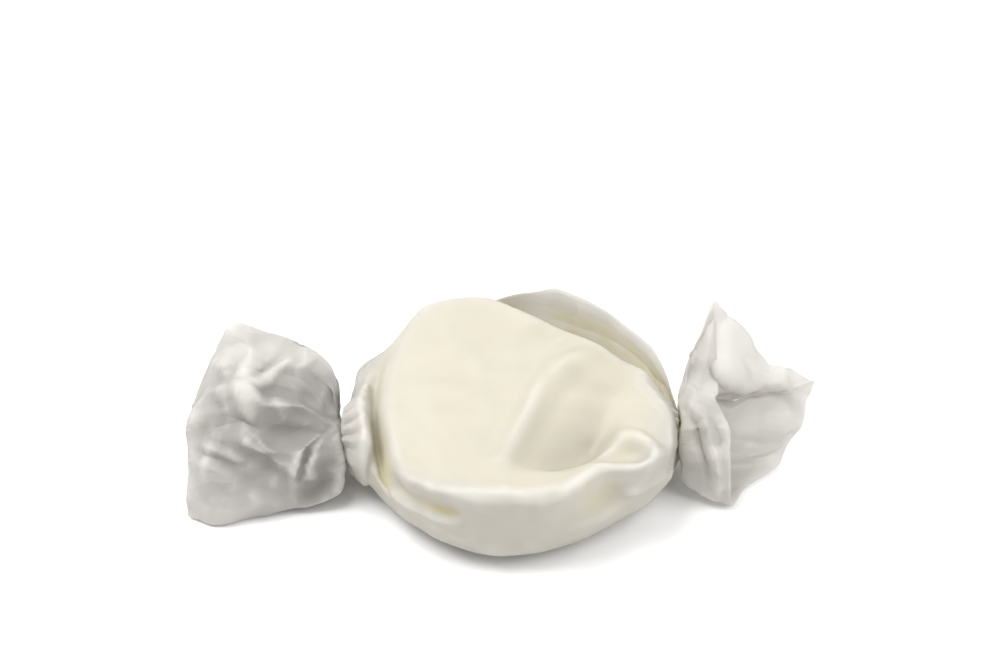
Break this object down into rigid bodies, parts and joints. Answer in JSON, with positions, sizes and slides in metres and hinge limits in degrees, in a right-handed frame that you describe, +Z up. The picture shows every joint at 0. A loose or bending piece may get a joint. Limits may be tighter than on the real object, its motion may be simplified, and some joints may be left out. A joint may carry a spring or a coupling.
{
  "type": "wrapped salt water taffy",
  "caption": "Round flat puck of cream-white taffy in a waxed-paper twist wrapper, with a crumpled fan at each side.",
  "frame": {"origin": "centre of the wrapper's flat underside, on the surface that the candy rests on", "axes": "+X along the twist axis from one fan to the other, +Y towards the wrapper's overlap at the back, +Z up"},
  "size_m": [0.0578, 0.0302, 0.0149],
  "materials": {
    "taffy": "satin, slightly translucent cream sugar candy",
    "waxed_paper": "translucent white, faint wax sheen"
  },
  "bodies": {
    "root": {"taffy": "taffy", "wrapper": "waxed_paper"}
  },
  "joints": []
}
